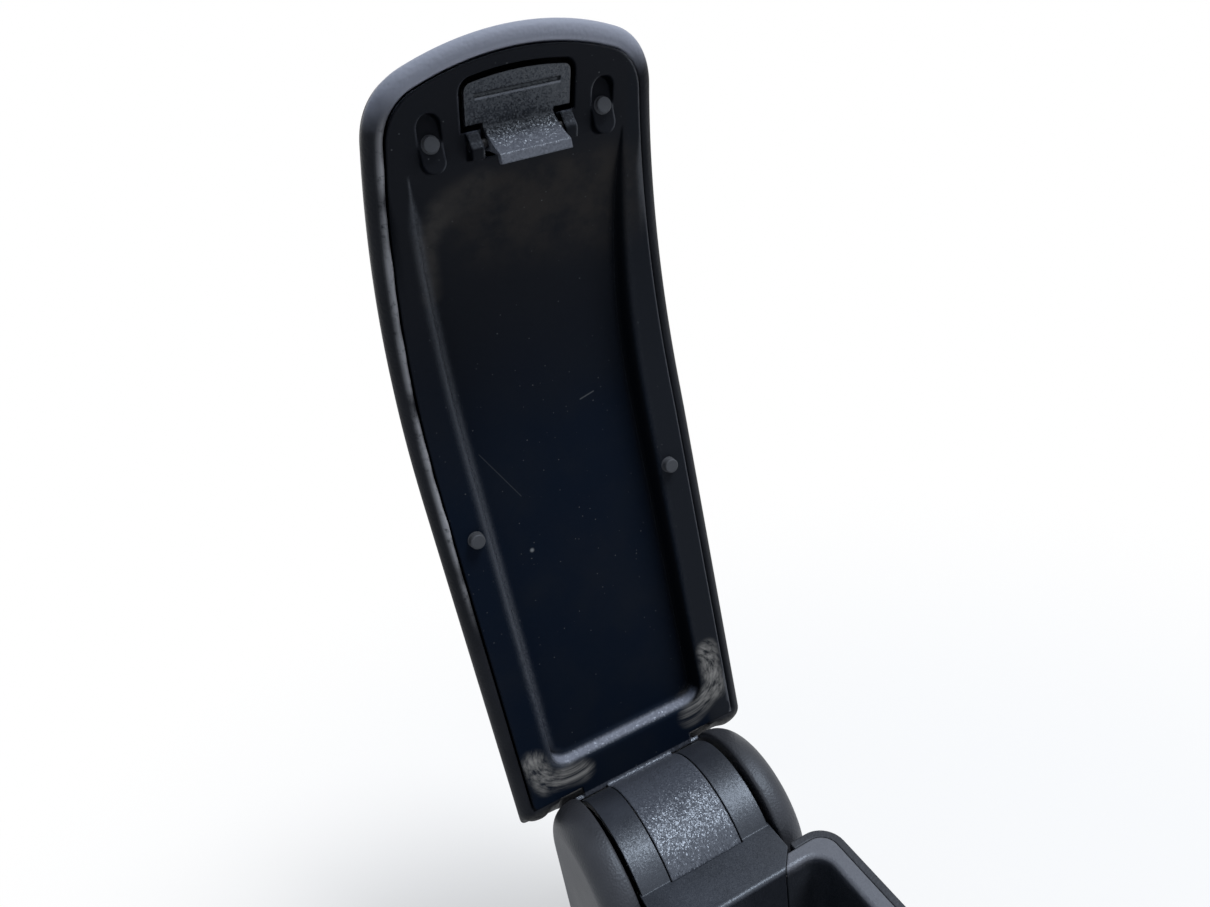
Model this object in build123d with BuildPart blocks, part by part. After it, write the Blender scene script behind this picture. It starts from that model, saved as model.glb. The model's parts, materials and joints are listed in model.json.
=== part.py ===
from build123d import *
import os
from math import acos, asin, cos, degrees, radians, sin, sqrt, tan

# A car armrest: a padded lid with a latch, hinged at the back of a storage bin.
# Sizes are in millimetres. The underside lies on Z = 0, +Y is the hinge end and
# the lid is drawn open. Lid sketches use (s, h): s runs from the hinge axis to the
# lid's tip and h runs from the underside of the lid to its padded side. The base
# uses the same pair with the lid closed: s forwards and h upwards.

# Hinge and lid swing
hinge_height = 105.0
open_angle = 97.4
barrel_radius = 35.7
drum_width = 33.6
band_width = 13.7
drum_gap = 0.7
barrel_wall = 2.6
pin_radius = 4.0
pin_clearance = 0.04
bush_wall = 1.6
bush_flange = 1.2
hub_length = 8.0
hub_wall = 3.0

# Outline of the lid's panel, in plan
panel_width = 103.6
panel_rear = 32.0
panel_tip = 332.0
taper_start = 180.0
nose_corner_s = 322.5
nose_corner_width = 85.4
nose_corner_radius = 16.0
rear_corner_radius = 3.0

# Side view of the panel: flat, then an arch down to the nose
panel_height = 25.4
arch_start = 196.0
arch_radius = 230.5
panel_wall = 2.5
tab_width = 56.4
tab_clearance = 0.6
lip_wall = 1.8
lip_angle = 26.0
crease_radius = 1.2
end_wall_height = 6.5

# Recess in the panel
recess_rear = 46.0
recess_front = 303.0
recess_width = 76.6
recess_depth = 8.0
recess_draft = 16.0
recess_corner_radius = 9.0

# Padded cover
pad_overhang = 6.3
pad_thickness = 30.0
pad_nose_thickness = 18.5
pad_rear = 11.0
pad_rear_radius = 44.5
pad_roll_radius = 5.0
pad_top_radius = 10.0
pad_corner_radius = 12.0
skin_wall = 1.3
skin_gap = 1.0
carrier_inset = 2.2
carrier_height = 13.2
carrier_wall = 2.4
layer_clearance = 0.15

# Latch
latch_s = 307.5
latch_drop = 2.2
latch_pin_radius = 1.5
paddle_width = 36.0
paddle_rear = 313.4
paddle_front = 326.4
paddle_wall = 2.4
paddle_gap = 1.8
paddle_corner_radius = 2.5
groove_width = 29.2
groove_s = 321.4
groove_size = 1.2
hook_start = 312.0
hook_width = 24.4
hook_drop = 11.3
hook_nose = 7.0
hook_nose_height = 2.4
hook_play = 0.9
hook_root = 4.0
boss_radius = 2.6
lug_gap = 2.0
lug_width = 4.2
lug_front = 312.0
lug_top = 306.2
lug_rear = 303.0
lug_height = 6.0
spring_wire = 0.7
spring_turns = 5
spring_leg = 6.5

# Bumpers
side_bumper_s = 165.4
side_bumper_spacing = 87.4
side_bumper_radius = 3.0
front_bumper_s = 310.5
front_bumper_spacing = 60.0
front_bumper_radius = 2.6
front_bumper_height = 2.2
bumper_collar = 0.35
bumper_stem_radius = 1.5
pedestal_length = 18.0
pedestal_width = 7.8
pedestal_wall = 1.8

# Base: rim, walls and hinge tower
bumper_height = 3.3
closed_gap = 0.3
shell_wall = 3.2
shell_floor = 4.0
shell_rear = 40.5
shell_corner_radius = 11.0
seam_gap = 0.3
tower_radius = 38.2
cheek_gap = 2.5
cheek_width = 14.0
cheek_round = 11.0
cheek_edge = 1.6
cheek_wall = 3.0
tower_rear_top = 20.0

# Bin liner
rim_width = 10.6
rim_wall = 2.6
rim_edge = 2.0
liner_wall = 2.2
liner_rear = 50.0
liner_front = 298.0
liner_corner_radius = 8.0
liner_lift = 5.0

# Hinge cover, bracket and striker
ledge_wall = 2.5
ledge_corner = 41.2
ledge_front_width = 47.0
ledge_edge = 2.0
apron_depth = 30.0
band_end_angle = -25.0
ear_wall = 3.0
ear_gap = 0.3
ear_hub_radius = 11.0
ear_foot_half = 27.0
clip_wall = 0.9
clip_depth = 0.8
clip_reach = 2.4
clip_mouth = 4.0
shelf_rear = 37.0
shelf_front = 46.0
cover_boss_height = 8.0
cover_boss_radius = 3.6
cover_screw_s = 41.5
striker_wall = 2.0
striker_width = 46.0
striker_window = 27.0
striker_bar = 3.4
striker_ear = 10.0

# Screws and mounting holes
cover_screw_radius = 1.5
striker_screw_radius = 1.4
liner_screw_radius = 1.8
bracket_screw_radius = 2.5
screw_head_ratio = 1.8
mount_spacing_x = 60.0
mount_spacing_y = 180.0
mount_hole_radius = 3.3
liner_screw_spacing_x = 50.0
liner_screw_spacing_y = 140.0
liner_boss_radius = 5.0
bracket_screw_spacing_x = 24.0
bracket_screw_spacing_y = 40.0

# Places that follow from the sizes above
hinge_y = (panel_tip - tower_radius) / 2
rim_gap = bumper_height + closed_gap
rim_height = panel_height - rim_gap
half_panel = panel_width / 2
half_drum = drum_width / 2
band_inner = half_drum + drum_gap
band_outer = half_drum + band_width
cheek_inner = band_outer + cheek_gap
cheek_outer = cheek_inner + cheek_width
hook_half = hook_width / 2
hook_slope = (-1, -0.65)
ledge_front_half = ledge_front_width / 2
lug_inner = hook_half + lug_gap
lug_round = lug_height / 5
spring_radius = latch_pin_radius + pin_clearance + 0.7 * spring_wire
spring_pitch = 0.92 * spring_wire
spring_half = spring_pitch * spring_turns / 2
spring_pocket = boss_radius + layer_clearance
hook_mouth_rear = latch_s - boss_radius - lug_gap
bush_radius = pin_radius + pin_clearance + bush_wall
lip_radius = barrel_radius + tab_clearance
round_reach = barrel_radius + crease_radius
round_height = panel_height - crease_radius
tab_reach = barrel_radius - barrel_wall - 4 * panel_wall
bumper_dome = front_bumper_height / 4
bumper_stem_depth = 2 * panel_wall
nose_bow = panel_tip - nose_corner_s
nose_arc_radius = (nose_corner_width**2 / 4 + nose_bow**2) / (2 * nose_bow)
sides = (-1, 1)
side_bumper_places = [(side_bumper_s, side * side_bumper_spacing / 2) for side in sides]
front_bumper_places = [(front_bumper_s, side * front_bumper_spacing / 2) for side in sides]
ear_inner = half_drum + bush_flange + ear_gap
ear_outer = ear_inner + ear_wall
sweep_radius = barrel_radius + drum_gap
end_radius = sqrt(panel_rear**2 + panel_height**2)
far = 2 * panel_tip
wide = 2 * panel_width

swing = radians(open_angle)
hinge_point = (0, hinge_y, hinge_height)
tip_direction = (0, -cos(swing), sin(swing))
pad_direction = (0, sin(swing), cos(swing))
lid_side = Plane(origin=hinge_point, x_dir=tip_direction, z_dir=(-1, 0, 0))
lid_plan = Plane(origin=hinge_point, x_dir=tip_direction, z_dir=pad_direction)
base_side = Plane(origin=hinge_point, x_dir=(0, -1, 0), z_dir=(-1, 0, 0))
base_plan = Plane(origin=hinge_point, x_dir=(0, -1, 0), z_dir=(0, 0, 1))


def arch_height(s):
    """Height of the panel's underside over the hinge axis, at s."""
    along = max(0.0, s - arch_start)
    return panel_height - arch_radius + sqrt(arch_radius**2 - along**2)


def arch_band(plane, low, high, rear):
    """Side view of a layer that follows the panel, between two heights over its underside."""
    centre = (arch_start, panel_height - arch_radius)
    sweep_angle = degrees(asin((panel_tip + 3 * pad_overhang - arch_start) / arch_radius))
    with BuildSketch(plane) as band:
        with BuildLine():
            lower = Line((rear, panel_height + low), (arch_start, panel_height + low))
            lower_arc = CenterArc(centre, arch_radius + low, 90, -sweep_angle)
            upper_arc = CenterArc(centre, arch_radius + high, 90, -sweep_angle)
            upper = Line((arch_start, panel_height + high), (rear, panel_height + high))
            Line(lower_arc @ 1, upper_arc @ 1)
            Line(upper @ 1, lower @ 0)
        make_face()
    return band.sketch


def plan_outline(plane, grow, rear, rear_radius):
    """Plan of the panel grown by a margin: straight sides, a taper and an arched nose."""
    nose_half = nose_corner_width / 2
    with BuildSketch(plane) as outline:
        with BuildLine():
            right = Line((rear + grow, half_panel), (taper_start, half_panel))
            right_taper = TangentArc(right @ 1, (nose_corner_s, nose_half), tangent=right % 1)
            ThreePointArc(right_taper @ 1, (panel_tip, 0), (nose_corner_s, -nose_half))
            left = Line((rear + grow, -half_panel), (taper_start, -half_panel))
            TangentArc(left @ 1, (nose_corner_s, -nose_half), tangent=left % 1)
            Line(left @ 0, right @ 0)
        make_face()
        fillet(outline.vertices().sort_by(lambda v: plane.to_local_coords(v).X)[-2:], nose_corner_radius)
        if rear_radius > 0:
            fillet(outline.vertices().sort_by(lambda v: plane.to_local_coords(v).X)[:2], rear_radius)
        if grow != 0:
            offset(amount=grow, kind=Kind.INTERSECTION)
    return outline.sketch


def layer(outline, low, high):
    """A layer of the lid that follows the panel's arch and has the given plan."""
    with BuildPart() as slab:
        extrude(arch_band(lid_side, low, high, -pad_rear), amount=wide / 2, both=True)
        extrude(outline, amount=far, both=True, mode=Mode.INTERSECT)
    return slab.part


def lid_place(shape):
    """Centre of a face or an edge in the lid's plan: X is s, Y is across and Z is h."""
    return lid_plan.to_local_coords(shape.center())


def pad_share(face):
    """How far a face looks towards the padded side: 1 straight at it, -1 straight away."""
    return face.normal_at().dot(Vector(*pad_direction))


def runs_across(edge):
    """True for a straight edge that runs across the lid."""
    return edge.geom_type == GeomType.LINE and abs((edge % 0.5).X) > 0.999


def on_arch_seam(edge):
    """True for the line across the lid where its flat part meets its arch."""
    return runs_across(edge) and abs(lid_place(edge).X - arch_start) < layer_clearance


def under_arch(drop, rear):
    """Side view of the base below a line that follows the panel at a distance."""
    centre = (arch_start, panel_height - arch_radius)
    sweep_angle = degrees(asin((panel_tip + pad_overhang - arch_start) / (arch_radius - drop)))
    with BuildSketch(base_side) as region:
        with BuildLine():
            top = Line((rear, panel_height - drop), (arch_start, panel_height - drop))
            top_arc = CenterArc(centre, arch_radius - drop, 90, -sweep_angle)
            front = Line(top_arc @ 1, ((top_arc @ 1).X, -hinge_height))
            floor = Line(front @ 1, (rear, -hinge_height))
            Line(floor @ 1, top @ 0)
        make_face()
    return region.sketch


def recess_form(grow, low):
    """The pan of the panel, grown by a wall: drafted sides along the arch and a ramp at its nose end."""
    slope = tan(radians(recess_draft))
    depth = recess_depth + grow
    half = recess_width / 2 + grow
    rear = recess_rear - grow
    floor_height = panel_height + depth
    ramp_end = arch_height(recess_front)
    centre = (arch_start, panel_height - arch_radius)
    sweep_angle = degrees(asin((recess_front + recess_depth - arch_start) / arch_radius))
    with BuildPart() as pan:
        with BuildLine(lid_side) as path:
            Line((rear - recess_depth, panel_height), (arch_start, panel_height))
            CenterArc(centre, arch_radius, 90, -sweep_angle)
        start = path.line @ 0
        with BuildSketch(Plane(origin=start, x_dir=(1, 0, 0), z_dir=path.line % 0)):
            with BuildLine():
                Polyline(
                    (-half + slope * low, low),
                    (half - slope * low, low),
                    (half - slope * depth, depth),
                    (-half + slope * depth, depth),
                    close=True,
                )
            make_face()
        sweep(path=path.line)
        with BuildSketch(lid_side):
            with BuildLine():
                foot = (rear - slope * recess_depth, panel_height - recess_depth)
                rear_wall = Line(foot, (rear + slope * depth, floor_height))
                flat = Line(rear_wall @ 1, (arch_start, floor_height))
                ramp = TangentArc(flat @ 1, (recess_front, ramp_end + grow), tangent=flat % 1)
                front = Line(ramp @ 1, (recess_front, ramp_end - recess_depth))
                under = Line(front @ 1, (foot[0], ramp_end - recess_depth))
                Line(under @ 1, foot)
            make_face()
        extrude(amount=half + grow, both=True, mode=Mode.INTERSECT)
        rear_faces = pan.faces().sort_by(lambda f: lid_plan.to_local_coords(f.center()).X)[0]
        corners = rear_faces.edges().sort_by(lambda e: abs(e.center().X))[-2:]
        fillet(corners, recess_corner_radius + grow)
    return pan.part


def pad_form(inset):
    """The padded form of the lid, drawn in by a wall: rolled lower edge and a rounder top edge."""
    low = panel_height + inset
    high = panel_height + pad_thickness - inset
    rear_arc_radius = pad_rear_radius + inset
    rear_from = degrees(asin(low / rear_arc_radius))
    rear_to = degrees(acos((pad_rear - skin_wall) / rear_arc_radius))
    nose_drop = panel_height + pad_thickness - arch_height(panel_tip) - pad_nose_thickness
    nose_run = panel_tip + pad_overhang - arch_start
    top_radius = (nose_run**2 + nose_drop**2) / (2 * nose_drop)
    reach = panel_tip + 2 * pad_overhang - arch_start
    low_sweep = degrees(asin(reach / (arch_radius + inset)))
    top_sweep = degrees(asin(reach / (top_radius - inset)))
    with BuildPart() as pad:
        with BuildSketch(lid_side):
            with BuildLine():
                rear_arc = CenterArc((0, 0), rear_arc_radius, rear_from, rear_to - rear_from)
                lower = Line(rear_arc @ 0, (arch_start, low))
                low_centre = (arch_start, panel_height - arch_radius)
                lower_arc = CenterArc(low_centre, arch_radius + inset, 90, -low_sweep)
                rise = Line(rear_arc @ 1, ((rear_arc @ 1).X, high))
                upper = Line(rise @ 1, (arch_start, high))
                top_centre = (arch_start, panel_height + pad_thickness - top_radius)
                upper_arc = CenterArc(top_centre, top_radius - inset, 90, -top_sweep)
                Line(lower_arc @ 1, upper_arc @ 1)
            make_face()
        extrude(amount=wide / 2, both=True)
        corner = pad_corner_radius - pad_overhang
        outline = plan_outline(lid_plan, pad_overhang - inset, pad_rear + inset, corner)
        extrude(outline, amount=far, both=True, mode=Mode.INTERSECT)

        under = pad.faces().filter_by(lambda f: pad_share(f) < -0.5 and lid_place(f).X > pad_rear_radius)
        fillet([e for e in under.edges() if not runs_across(e)], pad_roll_radius - inset)
        top = pad.faces().filter_by(lambda f: pad_share(f) > 0.5)
        fillet([e for e in top.edges() if not on_arch_seam(e)], pad_top_radius - inset)
    return pad.part


def paddle_outline(grow):
    """Plan of the latch paddle, grown by a gap: its front follows the panel's tip."""
    half = paddle_width / 2 + grow
    front = paddle_front + grow
    bow = half**2 / (2 * nose_arc_radius)
    with BuildSketch(lid_plan) as outline:
        with BuildLine():
            rear = paddle_rear - grow
            Polyline((front - bow, half), (rear, half), (rear, -half), (front - bow, -half))
            ThreePointArc((front - bow, -half), (front, 0), (front - bow, half))
        make_face()
        front_corners = outline.vertices().sort_by(lambda v: lid_plan.to_local_coords(v).X)[-2:]
        fillet(front_corners, paddle_corner_radius + grow)
    return outline.sketch


def rounded_outline(points, rounded, radius):
    """A closed outline through points, with an arc that touches both sides at each of the rounded ones."""
    joins = []
    for before, point, after in zip(points[-1:] + points[:-1], points, points[1:] + points[:1]):
        corner = Vector(*point)
        if point in rounded:
            to_before = (Vector(*before) - corner).normalized()
            to_after = (Vector(*after) - corner).normalized()
            half_angle = radians(to_before.get_angle(to_after)) / 2
            inward = (to_before + to_after).normalized() * (radius / sin(half_angle) - radius)
            reach = radius / tan(half_angle)
            joins += [corner + to_before * reach, corner + to_after * reach]
            ThreePointArc(joins[-2], corner + inward, joins[-1])
        else:
            joins += [corner, corner]
    for leave, meet in zip(joins[1::2], joins[2::2] + joins[:1]):
        Line(leave, meet)


def pedestal(plan, grow, low, high):
    """Oval columns under the front bumpers, between two heights over the hinge axis."""
    with BuildPart() as columns:
        with BuildSketch(plan.offset(low)):
            with Locations(*front_bumper_places):
                SlotOverall(pedestal_length + 2 * grow, pedestal_width + 2 * grow)
        extrude(amount=high - low)
    return columns.part


pedestal_height = arch_height(front_bumper_s)
pivot = (latch_s, arch_height(latch_s) - latch_drop)

# Lid: skin, foam and carrier

with BuildPart() as lid_skin:
    add(pad_form(0))
    add(pad_form(skin_wall), mode=Mode.SUBTRACT)
    mouth = plan_outline(lid_plan, skin_gap, pad_rear, 0)
    add(layer(mouth, -pad_thickness, end_wall_height), mode=Mode.SUBTRACT)
lid_skin.part.label = "lid_skin"

with BuildPart() as lid_foam:
    add(pad_form(skin_wall + layer_clearance))
    mouth = plan_outline(lid_plan, skin_gap + layer_clearance, pad_rear, 0)
    add(layer(mouth, -pad_thickness, panel_wall + layer_clearance), mode=Mode.SUBTRACT)
    hollow = plan_outline(lid_plan, layer_clearance - carrier_inset, 0, 0)
    add(layer(hollow, -pad_thickness, carrier_height + layer_clearance), mode=Mode.SUBTRACT)
lid_foam.part.label = "lid_foam"

with BuildPart() as lid_carrier:
    tray = plan_outline(lid_plan, -carrier_inset, pad_rear, 0)
    add(layer(tray, panel_wall + layer_clearance, carrier_height))
    inside = plan_outline(lid_plan, -carrier_inset - carrier_wall, 0, 0)
    add(layer(inside, -pad_thickness, carrier_height - carrier_wall), mode=Mode.SUBTRACT)
    with BuildSketch(lid_side):
        Circle(end_radius + panel_wall + layer_clearance)
    extrude(amount=wide / 2, both=True, mode=Mode.SUBTRACT)
    add(pad_form(skin_wall + layer_clearance), mode=Mode.INTERSECT)
    column_top = pedestal_height + pedestal_length / 2 + layer_clearance
    column_grow = pedestal_wall + layer_clearance
    add(pedestal(lid_plan, column_grow, pedestal_height - pad_thickness, column_top), mode=Mode.SUBTRACT)
    paddle_room = layer(paddle_outline(2 * paddle_gap), -pad_thickness, carrier_height - carrier_wall)
    add(paddle_room, mode=Mode.SUBTRACT)
lid_carrier.part.label = "lid_carrier"

# Lid: inner panel with its recess, drum, lugs and pedestals


def pedestal_wells():
    """Walls and floor of the pockets where the pedestals are sunk into the panel."""
    with BuildPart() as wells:
        well_floor = pedestal_height + panel_wall
        add(pedestal(lid_plan, pedestal_wall, pedestal_height - pad_thickness, well_floor))
        add(layer(plan_outline(lid_plan, 0, panel_rear, 0), 0, pad_thickness), mode=Mode.INTERSECT)
    return wells.part


def end_wall():
    """Wall at the rear of the panel, round the barrel, falling away towards the corners."""
    with BuildPart() as wall:
        with BuildSketch(lid_side):
            Circle(end_radius + panel_wall)
            Circle(end_radius, mode=Mode.SUBTRACT)
        extrude(amount=half_panel, both=True)
        with BuildSketch(Plane(origin=hinge_point, x_dir=(1, 0, 0), z_dir=tip_direction)):
            with BuildLine():
                Polyline(
                    (-half_panel, panel_height),
                    (half_panel, panel_height),
                    (cheek_inner, panel_height + end_wall_height),
                    (-cheek_inner, panel_height + end_wall_height),
                    close=True,
                )
            make_face()
        extrude(amount=panel_rear + panel_wall, mode=Mode.INTERSECT)
    return wall.part


with BuildPart() as lid_inner_panel:
    add(layer(plan_outline(lid_plan, 0, panel_rear, rear_corner_radius), 0, panel_wall))
    add(end_wall())

    # Tab that reaches the drum between the two bands
    with BuildSketch(lid_plan.offset(panel_height)):
        with Locations((panel_rear, 0)):
            Rectangle(2 * (panel_rear - tab_reach), tab_width)
    extrude(amount=panel_wall)
    with BuildSketch(lid_side):
        Circle(lip_radius)
    extrude(amount=wide / 2, both=True, mode=Mode.SUBTRACT)

    # Lip of the tab, curled back over the drum and the bands
    with BuildSketch(lid_side):
        with BuildLine():
            lip_from = degrees(asin(panel_height / lip_radius))
            lip_inner = CenterArc((0, 0), lip_radius, lip_from, lip_angle)
            lip_outer = CenterArc((0, 0), lip_radius + lip_wall, lip_from, lip_angle)
            Line(lip_inner @ 0, lip_outer @ 0)
            Line(lip_inner @ 1, lip_outer @ 1)
        make_face()
    extrude(amount=cheek_inner - tab_clearance, both=True)

    # Pan of the recess
    add(recess_form(panel_wall, panel_wall / 2))
    add(recess_form(0, -panel_wall), mode=Mode.SUBTRACT)

    # Hinge drum with its hubs, and the root of the tab on it
    with BuildSketch(lid_plan.offset(panel_height)):
        with Locations((panel_rear, 0)):
            Rectangle(2 * (panel_rear - tab_reach), drum_width)
    extrude(amount=panel_wall)
    with BuildSketch(lid_side):
        Circle(barrel_radius)
    extrude(amount=half_drum, both=True)
    with BuildSketch(lid_side):
        Circle(barrel_radius - barrel_wall)
        Circle(bush_radius + hub_wall, mode=Mode.SUBTRACT)
    extrude(amount=half_drum - barrel_wall, both=True, mode=Mode.SUBTRACT)
    with BuildSketch(lid_side):
        Circle(bush_radius)
    extrude(amount=half_drum, both=True, mode=Mode.SUBTRACT)
    with BuildSketch(lid_side):
        round_centre = (sqrt(round_reach**2 - round_height**2), round_height)
        drum_share = barrel_radius / round_reach
        on_drum = (round_centre[0] * drum_share, round_height * drum_share)
        with BuildLine():
            Polyline(
                (round_centre[0], panel_height + panel_wall / 2),
                (round_centre[0], panel_height - crease_radius / 2),
                on_drum,
                (tab_reach, on_drum[1]),
                (tab_reach, panel_height + panel_wall / 2),
                close=True,
            )
        make_face()
        with Locations(round_centre):
            Circle(crease_radius, mode=Mode.SUBTRACT)
        Circle(barrel_radius - barrel_wall, mode=Mode.SUBTRACT)
    extrude(amount=half_drum, both=True)

    # Pedestals: sunk at their nose side, proud at their hinge side
    add(pedestal_wells())
    add(pedestal(lid_plan, 0, pedestal_height, pedestal_height + pedestal_length / 2))
    add(pedestal(lid_plan, 0, pedestal_height - pad_thickness, pedestal_height), mode=Mode.SUBTRACT)

    # Lugs of the latch: the right one is rounded at its foot and crest, the left one at its back
    lug_foot = (lug_front, arch_height(lug_front))
    lug_crest = (lug_top, arch_height(lug_top) - lug_height)
    lug_back = (lug_rear, arch_height(lug_rear) - lug_height)
    lug_front_root = (lug_front, arch_height(lug_front) + panel_wall / 2)
    lug_rear_root = (lug_rear, arch_height(lug_rear) + panel_wall / 2)
    for side in sides:
        with BuildSketch(lid_side.offset(-side * lug_inner)):
            with BuildLine():
                rounded_outline(
                    [lug_front_root, lug_foot, lug_crest, lug_back, lug_rear_root],
                    [lug_foot, lug_crest] if side > 0 else [lug_back],
                    lug_round,
                )
            make_face()
        extrude(amount=-side * lug_width)

    # Openings for the paddle, the hook, the latch pin and the bumpers
    extrude(paddle_outline(paddle_gap), amount=far, both=True, mode=Mode.SUBTRACT)
    with BuildSketch(lid_plan):
        with Locations((paddle_rear, 0)):
            Rectangle(2 * (paddle_rear - hook_mouth_rear), hook_width + lug_gap)
    extrude(amount=far, both=True, mode=Mode.SUBTRACT)
    with BuildSketch(lid_side):
        with Locations(pivot):
            Circle(latch_pin_radius + pin_clearance)
    extrude(amount=lug_inner + lug_width, both=True, mode=Mode.SUBTRACT)
    with BuildSketch(lid_plan.offset(panel_height)):
        with Locations(*side_bumper_places):
            Circle(bumper_stem_radius)
    extrude(amount=panel_wall, mode=Mode.SUBTRACT)
    with BuildSketch(lid_plan.offset(pedestal_height)):
        with Locations(*front_bumper_places):
            Circle(bumper_stem_radius)
    extrude(amount=bumper_stem_depth, mode=Mode.SUBTRACT)
lid_inner_panel.part.label = "lid_inner_panel"


def bumper(place, seat, radius, height, stem_depth):
    """A rubber bumper: a domed cap on a collar, with a stem in the hole of the panel."""
    with BuildPart() as cap:
        with BuildSketch(lid_plan.offset(seat)):
            with Locations(place):
                Circle(radius + bumper_collar)
        extrude(amount=-bumper_collar)
        with BuildSketch(lid_plan.offset(seat)):
            with Locations(place):
                Circle(radius)
        extrude(amount=-height)
        fillet(cap.faces().sort_by(lambda f: lid_place(f).Z)[0].edges(), bumper_dome)
        with BuildSketch(lid_plan.offset(seat)):
            with Locations(place):
                Circle(bumper_stem_radius - layer_clearance / 2)
        extrude(amount=stem_depth - layer_clearance)
    return cap


side_bumper_sizes = (panel_height, side_bumper_radius, bumper_height, panel_wall)
front_bumper_sizes = (pedestal_height, front_bumper_radius, front_bumper_height, bumper_stem_depth)
side_bumper_left = bumper(side_bumper_places[0], *side_bumper_sizes)
side_bumper_left.part.label = "side_bumper_left"
side_bumper_right = bumper(side_bumper_places[1], *side_bumper_sizes)
side_bumper_right.part.label = "side_bumper_right"
front_bumper_left = bumper(front_bumper_places[0], *front_bumper_sizes)
front_bumper_left.part.label = "front_bumper_left"
front_bumper_right = bumper(front_bumper_places[1], *front_bumper_sizes)
front_bumper_right.part.label = "front_bumper_right"


# Latch: paddle with its hook, pin and spring

with BuildPart() as latch_paddle:
    extrude(paddle_outline(0), amount=far, both=True)
    plate = arch_band(lid_side, 0, paddle_wall, panel_rear)
    extrude(plate, amount=wide / 2, both=True, mode=Mode.INTERSECT)
    with BuildSketch(lid_plan.offset(arch_height(groove_s))):
        with Locations((groove_s, 0)):
            Rectangle(groove_size, groove_width)
    extrude(amount=groove_size, both=True, mode=Mode.SUBTRACT)
    with BuildSketch(lid_side):
        plate_end = (paddle_rear + paddle_wall, arch_height(paddle_rear + paddle_wall))
        root = (hook_start, arch_height(hook_start))
        toe = (latch_s - hook_root, pivot[1] - hook_drop + hook_nose_height / 2)
        with BuildLine():
            Polyline((plate_end[0], plate_end[1] + paddle_wall), plate_end, root)
            TangentArc(root, toe, tangent=hook_slope)
            Polyline(
                toe,
                (latch_s - hook_nose, toe[1]),
                (latch_s - hook_nose, toe[1] + hook_nose_height),
                (latch_s - hook_root, toe[1] + hook_nose_height),
                (latch_s - boss_radius, pivot[1]),
                (latch_s - boss_radius, arch_height(latch_s - boss_radius) + paddle_wall / 2),
                (plate_end[0], plate_end[1] + paddle_wall),
            )
        make_face()
        with Locations(pivot):
            Circle(boss_radius)
    extrude(amount=hook_half, both=True)

    # Pocket for the spring and bore for the pin
    with BuildSketch(lid_side):
        with BuildLine():
            Polyline(
                (latch_s - spring_pocket, pivot[1]),
                (latch_s + spring_pocket, pivot[1]),
                (plate_end[0], plate_end[1] + paddle_wall),
                (plate_end[0], panel_height),
                (latch_s - spring_pocket, panel_height),
                close=True,
            )
        make_face()
        with Locations(pivot):
            Circle(spring_pocket)
    extrude(amount=spring_half + spring_wire, both=True, mode=Mode.SUBTRACT)
    with BuildSketch(lid_side):
        with Locations(pivot):
            Circle(latch_pin_radius + pin_clearance)
    extrude(amount=hook_width, both=True, mode=Mode.SUBTRACT)
latch_paddle.part.label = "latch_paddle"

with BuildPart() as latch_pin:
    with BuildSketch(lid_side):
        with Locations(pivot):
            Circle(latch_pin_radius)
    extrude(amount=lug_inner + lug_width, both=True)
latch_pin.part.label = "latch_pin"


def spring_leg_form(across, stop):
    """A straight leg of the latch spring, from the top of its coil to a point (s, h)."""
    begin = lid_side.from_local_coords((latch_s, pivot[1] + spring_radius, across))
    end = lid_side.from_local_coords((stop[0], stop[1], across))
    with BuildPart() as leg:
        with BuildSketch(Plane(origin=begin, z_dir=end - begin)):
            Circle(0.45 * spring_wire)
        extrude(amount=(end - begin).length)
    return leg.part


with BuildPart() as latch_spring:
    pivot_point = lid_side.from_local_coords((pivot[0], pivot[1], 0))
    with BuildSketch(Plane(origin=pivot_point, x_dir=(1, 0, 0), z_dir=tip_direction)):
        with Locations((0, spring_radius)):
            with GridLocations(spring_pitch, 0, spring_turns, 1):
                Circle(spring_wire / 2)
    revolve(axis=Axis(pivot_point, (1, 0, 0)))
    leg_place = spring_half - spring_pitch / 2
    paddle_end = latch_s + spring_leg
    paddle_rest = arch_height(paddle_rear) + paddle_wall + spring_wire / 2 + layer_clearance
    add(spring_leg_form(-leg_place, (paddle_end, paddle_rest)))
    mouth_rest = arch_height(hook_mouth_rear) + panel_wall + spring_wire
    add(spring_leg_form(leg_place, (hook_mouth_rear, mouth_rest)))
latch_spring.part.label = "latch_spring"


def hinge_bush(side):
    """A flanged bush in the bore of the drum."""
    with BuildPart() as bush:
        with BuildSketch(lid_side.offset(-side * half_drum)):
            Circle(bush_radius + bush_wall)
        extrude(amount=-side * bush_flange)
        with BuildSketch(lid_side.offset(-side * half_drum)):
            Circle(bush_radius - pin_clearance)
        extrude(amount=side * hub_length)
        with BuildSketch(lid_side):
            Circle(pin_radius + pin_clearance)
        extrude(amount=wide / 2, both=True, mode=Mode.SUBTRACT)
    return bush


hinge_bush_left = hinge_bush(-1)
hinge_bush_left.part.label = "hinge_bush_left"
hinge_bush_right = hinge_bush(1)
hinge_bush_right.part.label = "hinge_bush_right"

# Base: heights over the hinge axis, widths and screw places

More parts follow.
